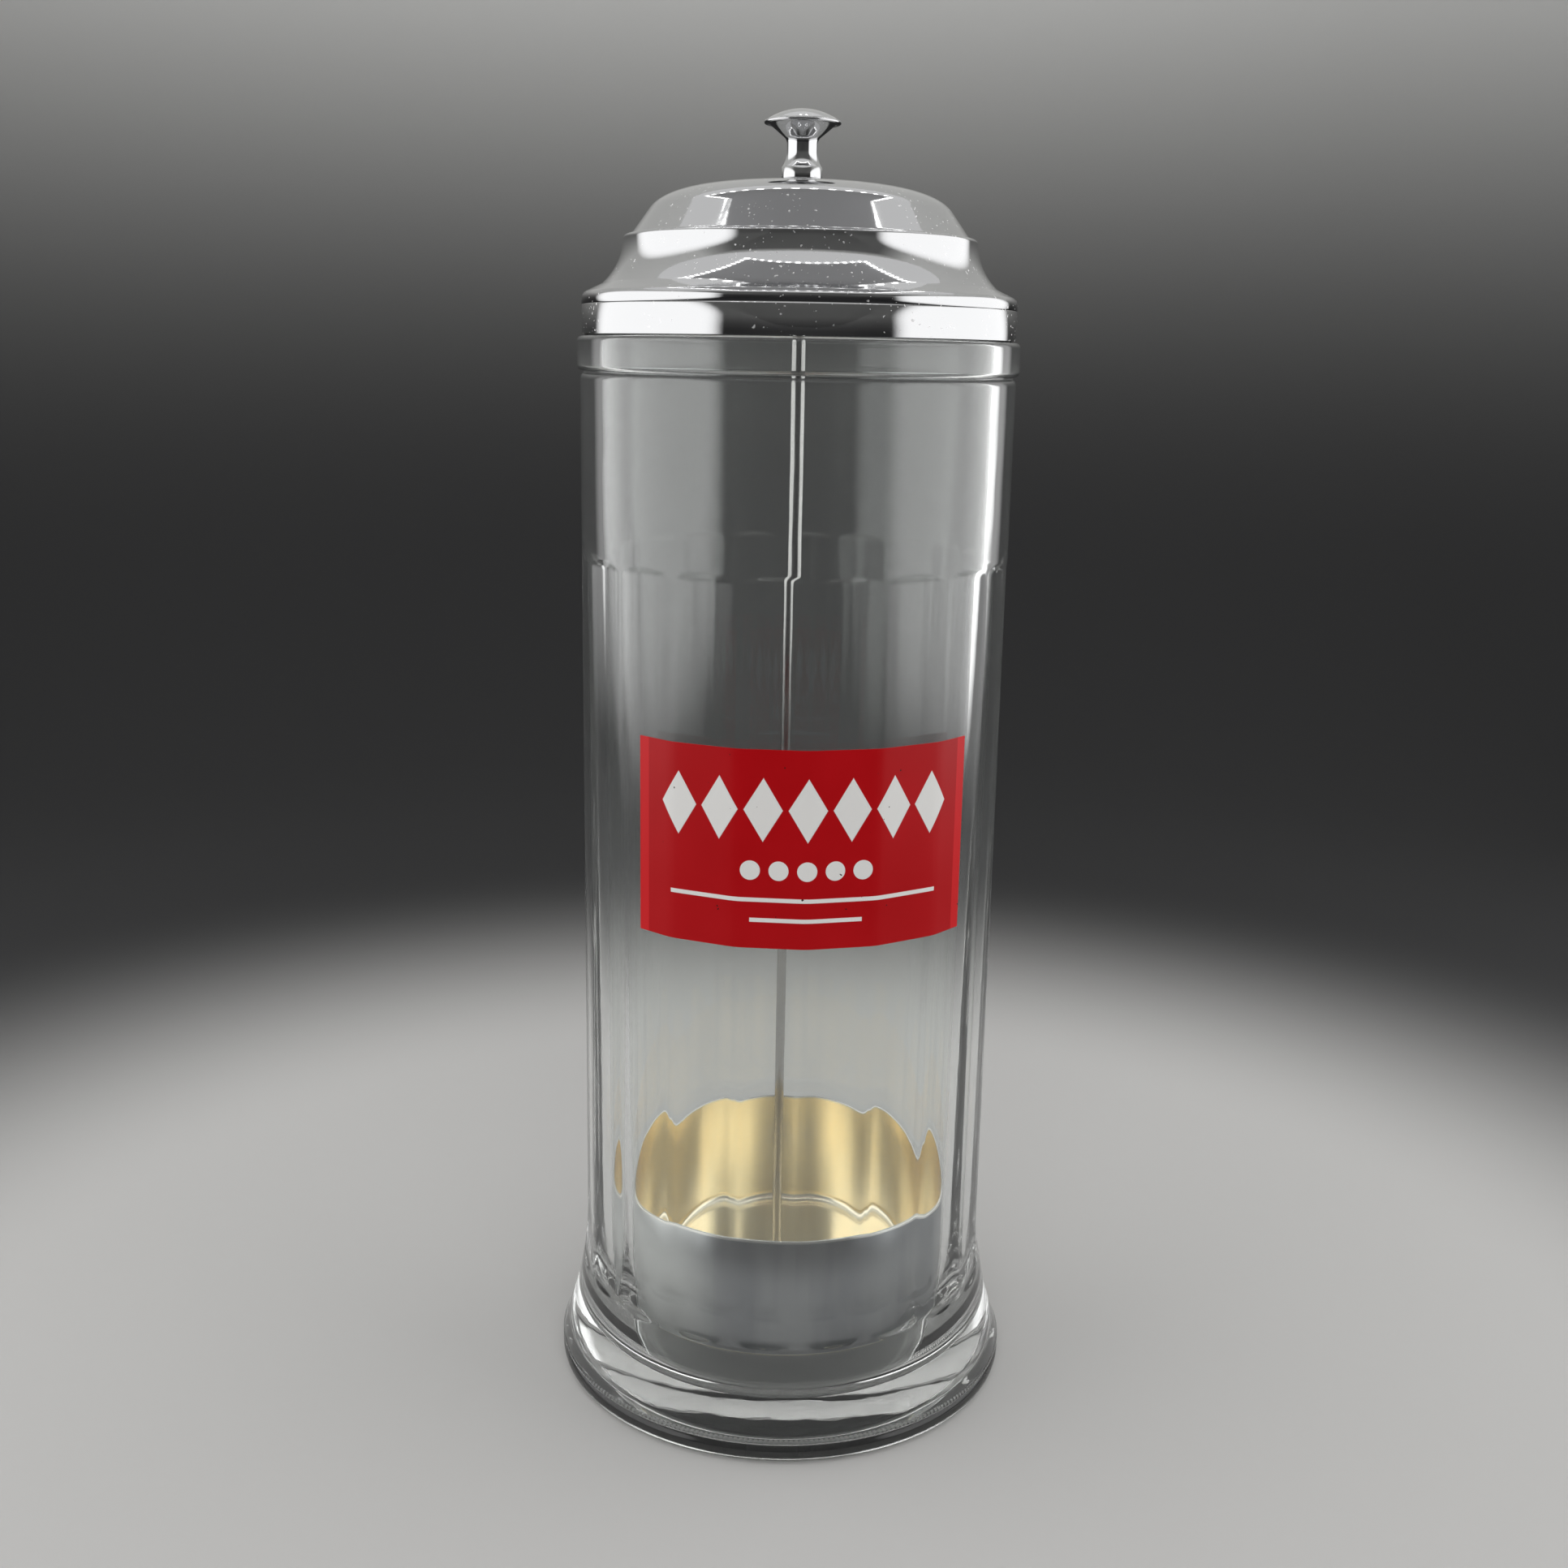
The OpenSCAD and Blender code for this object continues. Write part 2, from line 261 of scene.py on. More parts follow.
# Places that more than one piece uses
BEAD_TOP = JAR_H - NECK_H
BEAD_LOW = BEAD_TOP - BEAD_H
BEAD_R = BODY_R + BEAD_OUT
NECK_R = BODY_R - NECK_IN
FOOT_R = BODY_R + FOOT_OUT
BORE_TOP_R = BODY_R - WALL_TOP
APOTHEM = BODY_R - PANEL_DEPTH
PANEL_TOP = BEAD_LOW - PANEL_DROP
PANEL_LOW = FLARE_TOP - PANEL_FOLLOW
PANEL_SIDE = math.sqrt(BODY_R ** 2 - APOTHEM ** 2) + SIDE_SPARE
RIDGE_Z = 2 * FOOT_RING + 0.6 * FOOT_RIDGE
FLARE_Z = RIDGE_Z + FOOT_RIDGE
FLARE_DX = FOOT_OUT - RIDGE_IN
FLARE_DZ = FLARE_TOP - FLARE_Z
FLARE_ARC = (FLARE_DX ** 2 + FLARE_DZ ** 2) / (2 * FLARE_DX)
FOLLOW_R = FLARE_ARC + PANEL_DEPTH
FOLLOW_SINE = PANEL_FOLLOW / FOLLOW_R
LOW_MIDDLE_R = BODY_R + FLARE_ARC - (FOLLOW_R - RUNOUT_LOW) * math.sqrt(1 - FOLLOW_SINE ** 2)
LOW_MIDDLE_Z = FLARE_TOP - (FOLLOW_R - RUNOUT_LOW) * FOLLOW_SINE

LIP_Z = JAR_H + MOUTH_GAP
SKIRT_R = NECK_R + LID_GAP + LID_WALL
COVE_MID_Z = LIP_Z + LID_SHOULDER_H + COVE_H
COVE_LOW_A = math.degrees(math.asin(COVE_H / COVE_R))
COVE_STOP_A = math.degrees(math.asin(LEDGE_R / COVE_R))
COVE_MID_R = SKIRT_R - LID_SHOULDER_W + COVE_R * math.cos(math.radians(COVE_LOW_A))
COVE_TOP_R = COVE_MID_R - COVE_R
DOME_FOOT_R = COVE_TOP_R - LEDGE_W
DOME_R = DOME_FOOT_R - DOME_FLANK
DOME_STOP = math.acos((SEAT_R / DOME_R) ** (DOME_POWER / 2))
SEAT_Z = COVE_MID_Z + DOME_H * math.sin(DOME_STOP) ** (2 / DOME_POWER)

FIBRE_Z = SEAT_Z + END_PLAY
KNOB_Z = FIBRE_Z + FIBRE_T
LID_WASHER_Z = SEAT_Z - LID_WALL - END_PLAY - WASHER_T
LID_NUT_Z = LID_WASHER_Z - NUT_H
CUP_Z = FLOOR_T + CUP_LIFT
CUP_R = float(bore_radius(CUP_Z)) - CUP_GAP
CUP_WASHER_Z = CUP_Z + CUP_WALL
CUP_NUT_Z = CUP_WASHER_Z + WASHER_T
ACORN_Z = CUP_Z - NUT_H
ROD_LOW = ACORN_Z - ROD_REACH
ROD_HIGH = KNOB_Z + SOCKET_DEPTH - ROD_SPACE
HOLE_R = ROD_R + ROD_FIT
NUT_R = ROD_R + NUT_WALL
NUT_CORNER = NUT_R / math.cos(math.radians(30))


# Meshes

def fan(ring, tip):
    """Triangles from each edge of a ring to one tip."""
    return np.stack([ring, np.roll(ring, -1), np.full_like(ring, tip)], -1)


def finished_mesh(name, xyz, faces, sharp):
    """A smooth-shaded mesh from points in millimetres, sharp where faces meet past an angle.

    The angle is in degrees.
    """
    mesh = bpy.data.meshes.new(name)
    mesh.from_pydata((xyz * MM).tolist(), [], faces)
    mesh.update()
    mesh.shade_smooth()
    mesh.set_sharp_from_angle(angle=math.radians(sharp))
    return mesh


def lathe_mesh(name, xyz, poles):
    """A closed surface from a grid of rows by columns, in millimetres.

    The columns run round the axis and always close on the first. With poles, the first and last
    rows are single points on the axis that close the surface. Without, the last row joins the
    first, as on a ring.
    """
    rows, cols = xyz.shape[:2]
    if poles:
        body = xyz[1:-1].reshape(-1, 3)
        verts = np.vstack([body, xyz[0, :1], xyz[-1, :1]])
        ring = np.arange(len(body)).reshape(rows - 2, cols)
        a, b = ring[:-1], ring[1:]
    else:
        verts = xyz.reshape(-1, 3)
        ring = np.arange(rows * cols).reshape(rows, cols)
        a, b = ring, np.roll(ring, -1, 0)
    faces = np.stack([a, np.roll(a, -1, 1), np.roll(b, -1, 1), b], -1).reshape(-1, 4).tolist()
    if poles:
        faces += fan(ring[0], len(verts) - 2)[:, ::-1].tolist()
        faces += fan(ring[-1], len(verts) - 1).tolist()
    return finished_mesh(name, verts, faces, 50)


def add_piece(name, mesh, material, body, replaced):
    """Puts a mesh in the scene as the piece that stands for a CAD node and rides on a body."""
    piece = bpy.data.objects.new(name, mesh)
    bpy.context.scene.collection.objects.link(piece)
    mesh.materials.append(material)
    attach(piece, body)
    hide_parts(replaced)
    return piece


def turned(profile, angles, limit=None):
    """The profile turned round Z: x is radius times sine, y is minus radius times cosine.

    limit, where given, is the greatest radius at each angle, and clips the round profile to it.
    """
    r = np.repeat(profile[:, :1], len(angles), 1)
    if limit is not None:
        r = np.minimum(r, limit[None])
    z = np.repeat(profile[:, 1:], len(angles), 1)
    return np.stack([r * np.sin(angles), -r * np.cos(angles), z], -1)


def even_angles(n):
    """n equal steps of a whole turn, from zero."""
    return np.arange(n) * 2 * math.pi / n


def hexagon_limit(angles):
    """Distance from the axis to the side of a hexagon at each angle."""
    sixth = math.pi / 3
    return NUT_R / np.cos(np.mod(angles + sixth / 2, sixth) - sixth / 2)


# Jar

def flare_radius(z):
    """Radius of the flared foot: an arc that leaves the body upright at the flare's top."""
    return BODY_R + FLARE_ARC - np.sqrt(FLARE_ARC ** 2 - np.clip(FLARE_TOP - z, 0, None) ** 2)


def jar_outside():
    """Outer profile from the middle of the underside up to the mouth, without its panels."""
    stand_r = FOOT_R - FOOT_RING - STAND_W
    recess_r = stand_r - 2 * RECESS_H
    crease_a = math.degrees(math.acos(1 - CREASE_IN / SHOULDER_R))
    # Rows are crowded where the panels run out: low on the flare, and over their tops
    flare_z = np.concatenate([np.linspace(FLARE_Z, 23.5, 14), np.linspace(24, 29, 26),
                              np.linspace(30, FLARE_TOP, 9)])
    body_z = np.concatenate([[42, 60, 100, 140, 180, 190], np.linspace(193.6, 199.2, 20),
                             [204, 215, 226]])
    return np.vstack([
        points((0, RECESS_H), (20, RECESS_H), (recess_r - RECESS_EDGE, RECESS_H)),
        arc(recess_r, RECESS_H - RECESS_EDGE, RECESS_EDGE, 90, 60, 4),
        arc(stand_r + RECESS_EDGE * 0.4, RECESS_EDGE, RECESS_EDGE, 240, 270, 4),
        arc(FOOT_R - FOOT_RING, FOOT_RING, FOOT_RING, -90, 60, 16),
        arc(FOOT_R - FOOT_RIDGE, RIDGE_Z, FOOT_RIDGE, -50, 50, 8),
        np.stack([flare_radius(flare_z), flare_z], -1),
        np.stack([np.full_like(body_z, BODY_R), body_z], -1),
        arc(BODY_R - SHOULDER_R, BEAD_LOW - SHOULDER_R, SHOULDER_R, 0, crease_a, 9),
        points((BODY_R - CREASE_IN, BEAD_LOW)),
        arc(BEAD_R - BEAD_EDGE, BEAD_LOW + BEAD_EDGE, BEAD_EDGE, -75, 0, 10),
        arc(BEAD_R - BEAD_EDGE, BEAD_TOP - BEAD_EDGE, BEAD_EDGE, 0, 80, 10),
        arc(NECK_R + NECK_FILLET, BEAD_TOP + NECK_FILLET, NECK_FILLET, 250, 180, 4),
        arc(NECK_R - MOUTH_EDGE, JAR_H - MOUTH_EDGE, MOUTH_EDGE, 0, 90, 7)])


def jar_inside():
    """The bore from the mouth down to the middle of the floor."""
    z = np.array([240, 226, JAR_H - BORE_STRAIGHT, 180, 140, 100, 60, 40, 28, 18.0])
    return np.vstack([
        arc(BORE_TOP_R + MOUTH_EDGE, JAR_H - MOUTH_EDGE, MOUTH_EDGE, 90, 180, 7),
        np.stack([bore_radius(z), z], -1),
        arc(BODY_R - WALL_LOW - FLOOR_FILLET, FLOOR_T + FLOOR_FILLET, FLOOR_FILLET, 0, -90, 12),
        points((20, FLOOR_T), (0, FLOOR_T))])


def panel_angles():
    """Angles of the jar's columns, crowded where each panel's flat meets the rib beside it."""
    share = np.array([0, 0.2, 0.4, 0.6, 0.72, 0.79, 0.83, 0.86, 0.89, 0.92, 0.96])
    one = np.concatenate([-share[:0:-1], share]) * math.pi / PANELS
    middles = (np.arange(PANELS) + 0.5) * 2 * math.pi / PANELS
    return (middles[:, None] + one[None]).ravel(), np.tile(one, PANELS)


def panel_flat(z):
    """Distance from the axis to the middle of a panel's flat.

    It is the apothem, leaves it upwards along a run-out arc, follows the flare downwards at the
    panel's depth, and ends below in a second run-out arc that starts tangent to that curve.
    """
    above = np.clip(z - PANEL_TOP, 0, RUNOUT_TOP)
    top = APOTHEM + RUNOUT_TOP - np.sqrt(RUNOUT_TOP ** 2 - above ** 2)
    below = np.clip(FLARE_TOP - z, 0, None)
    side = BODY_R + FLARE_ARC - np.sqrt(FOLLOW_R ** 2 - below ** 2)
    deep = np.clip(LOW_MIDDLE_Z - z, 0, RUNOUT_LOW)
    foot = LOW_MIDDLE_R - np.sqrt(RUNOUT_LOW ** 2 - deep ** 2)
    return np.where(z > FLARE_TOP, top, np.where(z > PANEL_LOW, side, foot))


def pressed(r, z, turn):
    """Radius of the jar after its panels are pressed in.

    The depth under the round body is the round radius less the flat's. It is kept where it is
    above zero, with a soft start that rounds the arris, and fades out beside the panel's width.
    """
    flat = panel_flat(z)
    depth = r - flat / np.cos(turn)
    kept = 0.5 * (depth + np.sqrt(depth ** 2 + ARRIS_SOFT ** 2)) - ARRIS_SOFT / 4
    beside = (PANEL_SIDE - np.abs(flat * np.tan(turn))) / SIDE_FADE + 0.5
    beside = np.clip(beside, 0, 1)
    return r - np.clip(kept, 0, None) * beside ** 2 * (3 - 2 * beside)


def jar_mesh():
    """The whole jar: its outside with the panels pressed in, over the mouth and down the bore."""
    outside = jar_outside()
    angles, turn = panel_angles()
    grid = turned(np.vstack([outside, jar_inside()]), angles)
    r, z = outside[:, :1], outside[:, 1:]
    rows = np.flatnonzero((z[:, 0] > 15) & (z[:, 0] < BEAD_LOW - SHOULDER_R)
                          & (r[:, 0] > BODY_R - 0.01))
    new_r = pressed(r[rows], z[rows], turn[None])
    grid[rows, :, 0] = new_r * np.sin(angles)
    grid[rows, :, 1] = -new_r * np.cos(angles)
    return lathe_mesh("jar_glass", grid, poles=True)


def quads_between(index):
    """Quads between neighbouring points of a grid of point numbers."""
    corners = [index[:-1, :-1], index[:-1, 1:], index[1:, 1:], index[1:, :-1]]
    return np.stack(corners, -1).reshape(-1, 4)


def label_mesh():
    """The print: a thin closed strip that follows the panels just outside the jar's surface."""
    half = LABEL_W / (2 * BODY_R)
    angles = (panel_angles()[0] + math.pi) % (2 * math.pi) - math.pi
    inner = np.sort(angles[np.abs(angles) < half])
    a = np.concatenate([[-half], inner, [half]])
    pitch = 2 * math.pi / PANELS
    z = np.linspace(LABEL_MID - LABEL_H / 2, LABEL_MID + LABEL_H / 2, 9)[:, None]
    base = pressed(np.full_like(z, BODY_R), z, (np.mod(a, pitch) - pitch / 2)[None])
    up = np.repeat(z, len(a), 1)
    back, front = [np.stack([r * np.sin(a), -r * np.cos(a), up], -1).reshape(-1, 3)
                   for r in (base + LABEL_BACK, base + LABEL_T)]
    index = np.arange(len(back)).reshape(base.shape)
    edge = np.concatenate([index[0, :-1], index[:-1, -1], index[-1, :0:-1], index[:0:-1, 0]])
    ahead = np.roll(edge, -1)
    faces = [quads_between(index + len(back)), quads_between(index)[:, ::-1],
             np.stack([edge, ahead, ahead + len(back), edge + len(back)], -1)]
    return finished_mesh("label_panel", np.vstack([back, front]), np.vstack(faces).tolist(), 40)


# Metal pieces

def lid_outside():
    """The stamped lid's outside, from the hem of its band up to the knob's seat.

    The dome's crown is a superellipse, and a straight flank joins it to a fillet on the ledge.
    """
    a = np.linspace(DOME_START, DOME_STOP, 40)
    crown = np.stack([DOME_R * np.cos(a) ** (2 / DOME_POWER),
                      COVE_MID_Z + DOME_H * np.sin(a) ** (2 / DOME_POWER)], -1)
    flank = math.atan2(crown[0, 1] - COVE_MID_Z, DOME_FOOT_R - crown[0, 0])
    fillet_r = DOME_FOOT_R + FOOT_FILLET * math.tan(flank / 2)
    return np.vstack([
        points((SKIRT_R, BEAD_TOP + SEAT_GAP), (SKIRT_R, BEAD_TOP + 1),
               (SKIRT_R, BAND_LINE_Z - BAND_LINE_HALF),
               (SKIRT_R - BAND_LINE_DEPTH, BAND_LINE_Z),
               (SKIRT_R, BAND_LINE_Z + BAND_LINE_HALF)),
        arc(SKIRT_R - LIP_R, LIP_Z, LIP_R, 0, 65, 12),
        arc(COVE_MID_R, COVE_MID_Z, COVE_R, 180 + COVE_LOW_A, 180 + COVE_STOP_A, 28),
        arc(COVE_TOP_R - LEDGE_R, COVE_MID_Z - LEDGE_R, LEDGE_R, 0, 88, 10),
        arc(fillet_r, COVE_MID_Z + FOOT_FILLET, FOOT_FILLET, 270, 270 - math.degrees(flank), 7),
        crown,
        points((SEAT_R - 0.5, SEAT_Z), (ROD_R + TURN_FIT, SEAT_Z))])


def sheet_profile(path, t):
    """A closed section of sheet metal: the outside, and the same path moved in by t."""
    return np.vstack([path, inset(path, t)[::-1]])


def cup_outside():
    """The drawn cup's outside, from its hole to a rim with a slightly drawn-in edge."""
    rim_z = CUP_Z + CUP_H
    return np.vstack([
        points((HOLE_R, CUP_Z), (12, CUP_Z), (24, CUP_Z)),
        arc(CUP_R - CUP_CORNER, CUP_Z + CUP_CORNER, CUP_CORNER, -90, 0, 14),
        points((CUP_R, CUP_Z + CUP_H / 2), (CUP_R, rim_z - CUP_LIP),
               (CUP_R - CUP_LIP * 0.8, rim_z))])


def knob_profile():
    """The knob from the top of its socket, round its outside, to the top of its crown.

    A hollow curve narrows the collar to the waist, and a throat arc turns it into the cone.
    """
    collar_r, waist_r = ROD_R + COLLAR_WALL, ROD_R + WAIST_WALL
    cap_z = KNOB_H - KNOB_CROWN - KNOB_RIM
    rim_r = KNOB_R - KNOB_RIM / 2
    cove_a = math.acos(1 - (collar_r - COLLAR_BEVEL - waist_r) / KNOB_COVE)
    cove_z = COLLAR_H + KNOB_COVE * math.sin(cove_a)
    throat_r = waist_r + KNOB_THROAT
    cone_r = KNOB_R - KNOB_LIP
    throat_a = (math.atan2(KNOB_CONE_H, cone_r - throat_r)
                + math.acos(KNOB_THROAT / math.hypot(cone_r - throat_r, KNOB_CONE_H)))
    crown_r = (rim_r ** 2 + KNOB_CROWN ** 2) / (2 * KNOB_CROWN)
    crown_a = math.degrees(math.asin(rim_r / crown_r))
    path = np.vstack([
        points((0, SOCKET_DEPTH), (HOLE_R, SOCKET_DEPTH), (HOLE_R, 0)),
        arc(collar_r - COLLAR_EDGE, COLLAR_EDGE, COLLAR_EDGE, -90, 0, 6),
        points((collar_r, COLLAR_H - COLLAR_BEVEL)),
        arc(waist_r + KNOB_COVE, cove_z, KNOB_COVE, 180 + math.degrees(cove_a), 180, 16),
        arc(throat_r, cap_z - KNOB_CONE_H, KNOB_THROAT, 180, math.degrees(throat_a), 12),
        points((cone_r, cap_z)),
        arc(rim_r, cap_z + KNOB_RIM / 2, KNOB_RIM / 2, -90, 60, 9),
        arc(0, KNOB_H - crown_r, crown_r, 90 - crown_a, 90, 18)])
    return path + [0, KNOB_Z]


def thread(low, high):
    """A run of fine thread grooves: every second point is drawn in by the thread's depth."""
    z = np.arange(low, high, THREAD_PITCH / 2)
    return np.stack([ROD_R - THREAD_DEPTH * (np.arange(len(z)) % 2), z], -1)


def rod_profile():
    """The rod, with fine thread grooves at both ends and a chamfer on each end."""
    end_r = ROD_R - ROD_CHAMFER
    return np.vstack([
        points((0, ROD_LOW), (end_r, ROD_LOW)),
        thread(ROD_LOW + ROD_CHAMFER, CUP_NUT_Z + NUT_H + THREAD_PAST),
        points((ROD_R, CUP_NUT_Z + NUT_H + THREAD_STOP), (ROD_R, LID_NUT_Z - THREAD_STOP)),
        thread(LID_NUT_Z - THREAD_PAST, ROD_HIGH - ROD_CHAMFER),
        points((end_r, ROD_HIGH), (0, ROD_HIGH))])


def washer_profile(width, low, t, edge=0.12):
    """A flat ring round the rod with its outer edges broken."""
    outer = ROD_R + width
    return points((HOLE_R, low), (outer - edge, low), (outer, low + edge),
                  (outer, low + t - edge), (outer - edge, low + t), (HOLE_R, low + t))


def nut_profile(low):
    """A nut's round blank with a chamfer at each end, before its flats clip it."""
    face_r = NUT_R - NUT_FACE_IN
    return points((HOLE_R, low), (face_r, low), (NUT_CORNER, low + NUT_CHAMFER),
                  (NUT_CORNER, low + NUT_H - NUT_CHAMFER), (face_r, low + NUT_H),
                  (HOLE_R, low + NUT_H))


def acorn_profile():
    """The closed nut, from the top of its blind bore down to the tip of its dome."""
    dome = NUT_R - ACORN_STEP
    a = np.linspace(0, math.pi / 2, 12)
    return np.vstack([
        points((0, ROD_LOW - ROD_SPACE), (HOLE_R, ROD_LOW - ROD_SPACE), (HOLE_R, CUP_Z),
               (NUT_R - NUT_FACE_IN, CUP_Z), (NUT_CORNER, CUP_Z - NUT_CHAMFER),
               (NUT_CORNER, ACORN_Z + NUT_CHAMFER), (dome + ACORN_STEP / 2, ACORN_Z)),
        np.stack([dome * np.cos(a), ACORN_Z - ACORN_H * np.sin(a)], -1)])


# Materials

class Value:
    """A socket whose operators add Math nodes, so that shader maths reads as an expression."""

    def __init__(self, finish, socket):
        self.finish = finish
        self.socket = socket

    def math(self, operation, *others, clamp=False):
        settings = {"operation": operation, "use_clamp": clamp}
        return self.finish.add("ShaderNodeMath", settings, dict(enumerate((self,) + others)))

    def __add__(self, other):
        return self.math("ADD", other)

    def __sub__(self, other):
        return self.math("SUBTRACT", other)

    def __rsub__(self, other):
        return self * -1.0 + other

    def __mul__(self, other):
        return self.math("MULTIPLY", other)

    def __truediv__(self, other):
        return self.math("DIVIDE", other)

    __radd__ = __add__
    __rmul__ = __mul__

    def size(self):
        return self.math("ABSOLUTE")

    def wave(self):
        return self.math("SINE")

    def least(self, other):
        return self.math("MINIMUM", other)

    def most(self, other):
        return self.math("MAXIMUM", other)

    def over(self, edge):
        return self.math("GREATER_THAN", edge)

    def eased(self):
        """The smooth step of a value between 0 and 1."""
        return self * self * (3.0 - self * 2.0)

    def below(self, edge, soft):
        """1 where the value is under edge, 0 over it, with a straight step of width soft."""
        return ((edge - self) / soft).math("ADD", 0.5, clamp=True)


class Graph:
    """A node tree, and the one method that adds any node to it."""

    def __init__(self, tree):
        self.tree = tree

    def add(self, kind, settings, values, out=0):
        """Adds a node, sets its settings, then its sockets' values or links; returns one output."""
        node = self.tree.nodes.new(kind)
        for key, value in settings.items():
            setattr(node, key, value)
        for key, value in values.items():
            if isinstance(value, Value):
                self.tree.links.new(value.socket, node.inputs[key])
            else:
                node.inputs[key].default_value = value
        return Value(self, node.outputs[out])


class Finish(Graph):
    """One material with a Principled shader."""

    def __init__(self, name, **sockets):
        self.material = bpy.data.materials.new(name)
        self.material.use_nodes = True
        super().__init__(self.material.node_tree)
        self.shader = self.tree.nodes["Principled BSDF"]
        for key, value in sockets.items():
            self.shader.inputs[key.replace("_", " ")].default_value = value
        self.place = self.add("ShaderNodeTexCoord", {}, {}, "Object")

    def parts(self):
        """x, y and z of the piece's own coordinates, in millimetres."""
        split = [self.add("ShaderNodeSeparateXYZ", {}, {0: self.place}, axis) for axis in "XYZ"]
        return [value * (1 / MM) for value in split]

    def noise(self, scale, detail=2.0, stretch=(1, 1, 1), rough=0.5):
        """Noise on the piece's own coordinates; scale is in waves per metre."""
        at = self.add("ShaderNodeMapping", {}, {"Vector": self.place, "Scale": stretch})
        return self.add("ShaderNodeTexNoise", {}, {"Vector": at, "Scale": scale,
                        "Detail": detail, "Roughness": rough}, "Fac")

    def mix(self, factor, a, b):
        """Colour a where factor is 0 and b where it is 1."""
        return self.add("ShaderNodeMix", {"data_type": "RGBA"}, {0: factor, 6: a, 7: b}, 2)

    def feed(self, socket, value):
        """Links a value to one of the shader's sockets."""
        self.tree.links.new(value.socket, self.shader.inputs[socket])

    def bump(self, height, depth):
        """Raises the surface by height times depth, in metres."""
        bent = self.add("ShaderNodeBump", {}, {"Height": height, "Distance": depth}, "Normal")
        self.feed("Normal", bent)


def rgb(r, g, b):
    """An opaque colour."""
    return (r, g, b, 1.0)


def clear_glass():
    """Pressed glass: clear, faintly green, wavy, with a fine beaded ring at the foot."""
    finish = Finish("clear_glass", Base_Color=rgb(0.974, 0.990, 0.980), Roughness=0.0, IOR=1.5,
                    Transmission_Weight=0.97)
    x, y, z = finish.parts()
    slow = finish.noise(14, 1.0, (1, 1, 0.25))
    ripple = finish.noise(90, 2.0, (1, 1, 0.35))
    beads = 300
    dots = (x.math("ARCTAN2", y) * beads).wave()
    ring = (z - RIDGE_Z).size().below(0.7, 0.2)
    finish.bump(slow * 0.7 + ripple * 0.07 + dots * ring * 0.12, 0.0006)
    return finish.material


def red_print():
    """Gloss red print: a brighter strip at each side, and plain white marks on a deep red field.

    The marks are a row of diamonds, a short row of discs and two thin lines.
    """
    finish = Finish("red_print", Specular_IOR_Level=0.25)
    x, y, z = finish.parts()
    along = x.math("ARCTAN2", y * -1.0) * BODY_R
    up = z - LABEL_MID

    def row(pitch, middle):
        """Distance along and up from the nearest mark of a row with one mark at its middle."""
        a = (along / pitch + 0.5).math("FRACT") * pitch - pitch / 2
        return a.size(), (up - middle).size()

    def within(reach):
        """1 up to a distance along from the label's middle, and 0 past it."""
        return along.size().below(reach, MARK_SOFT)

    big_a, big_u = row(DIAMOND_PITCH, DIAMOND_UP)
    diamonds = (big_a / DIAMOND_HALF_W + big_u / DIAMOND_HALF_H).below(1.0, 0.04)
    disc_a, disc_u = row(DISC_PITCH, DISC_UP)
    discs = (disc_a * disc_a + disc_u * disc_u).below(DISC_R * DISC_R, 0.4)
    white = (diamonds * within(DIAMOND_ROW)).most(discs * within(DISC_ROW))
    for middle, reach in LINES_UP_AND_REACH:
        line = (up - middle).size().below(LINE_W / 2, MARK_SOFT)
        white = white.most(line * within(reach))
    strip = 1.0 - within(LABEL_W / 2 - SIDE_STRIP)
    cloud = finish.noise(60, 3.0)
    chips = finish.noise(900, 1.0).over(0.80)
    deep = finish.mix(cloud, rgb(0.40, 0.003, 0.005), rgb(0.49, 0.004, 0.008))
    red = finish.mix(strip, deep, rgb(0.62, 0.014, 0.018))
    ink = finish.mix(white, red, rgb(0.82, 0.81, 0.79))
    finish.feed("Base Color", finish.mix(chips, ink, rgb(0.02, 0.01, 0.01)))
    finish.feed("Roughness", 0.26 + cloud * 0.12)
    finish.bump(white * 0.5 + finish.noise(1500, 1.0) * 0.06, 0.00006)
    return finish.material


def bright_chrome(name, shade):
    """Chrome plate: a mirror with faint cloudy wiping marks, fine scratches and slow waviness."""
    finish = Finish(name, Metallic=1.0)
    wipes = finish.noise(55, 4.0, (1, 1, 2.2), 0.6)
    dust = finish.noise(1500, 0.0).over(0.78) * finish.noise(60, 1.0).over(0.48)
    clean = rgb(shade, shade * 1.005, shade * 1.015)
    finish.feed("Base Color", finish.mix(dust, clean, rgb(0.92, 0.92, 0.92)))
    finish.feed("Roughness", (wipes - 0.35).most(0.0) * 0.16 + dust * 0.5 + 0.03)
    finish.bump(finish.noise(26, 1.0) + finish.noise(900, 1.0) * 0.006, 0.0004)
    return finish.material


